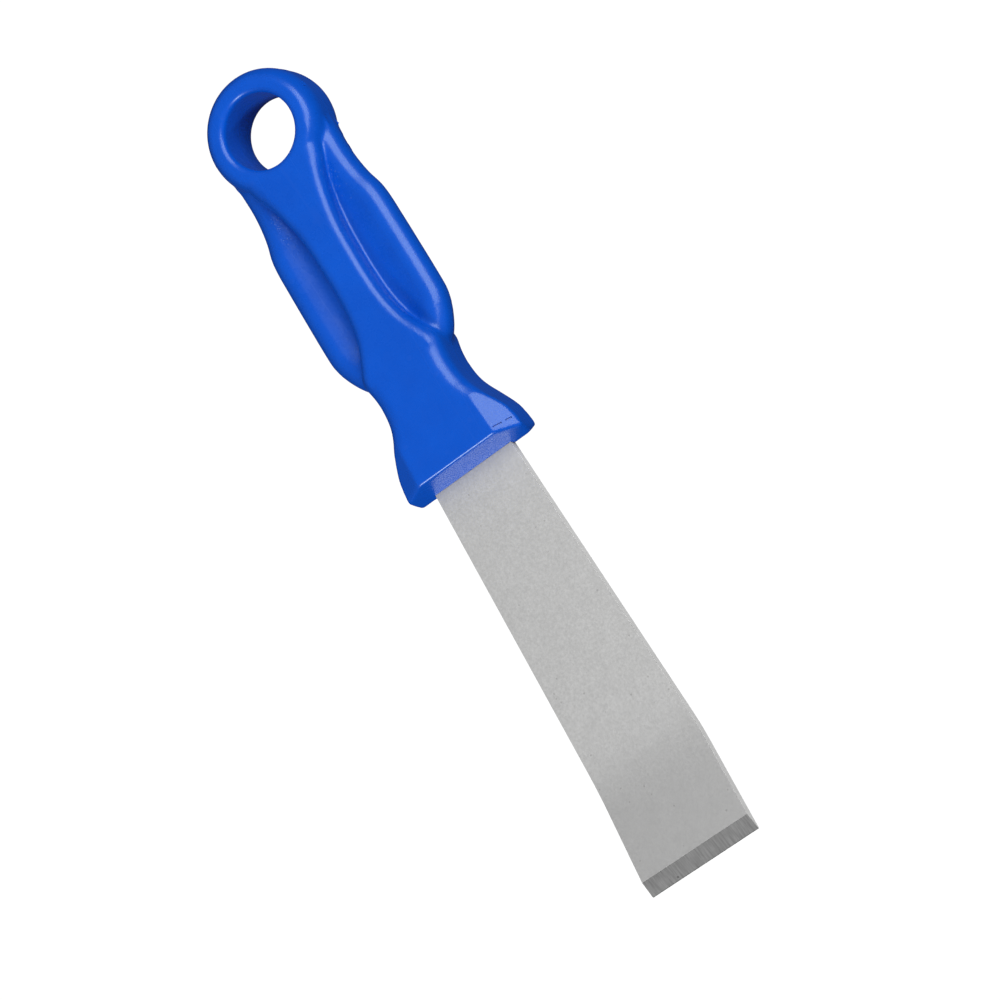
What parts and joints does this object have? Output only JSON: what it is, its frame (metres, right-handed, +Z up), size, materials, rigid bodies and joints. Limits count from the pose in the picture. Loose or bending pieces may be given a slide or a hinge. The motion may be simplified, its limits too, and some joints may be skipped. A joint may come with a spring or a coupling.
{
  "type": "hive tool",
  "caption": "Beekeeper's hive tool: a flat steel blade, bent up and bevelled at its cutting end, fixed in a moulded plastic handle with a hang ring, finger scoops and a flared bolster.",
  "frame": {"origin": "under the middle of the tool, in the plane of the handle's flat underside", "axes": "+X runs along the tool from the hang ring to the cutting edge, +Y across it, +Z up, the way the blade's end is bent"},
  "size_m": [0.2202, 0.035, 0.016],
  "materials": {
    "handle": "glossy moulded blue plastic",
    "blade": "satin stainless steel with a ground bevel"
  },
  "bodies": {
    "root": {"handle": "handle", "blade": "blade"}
  },
  "joints": []
}
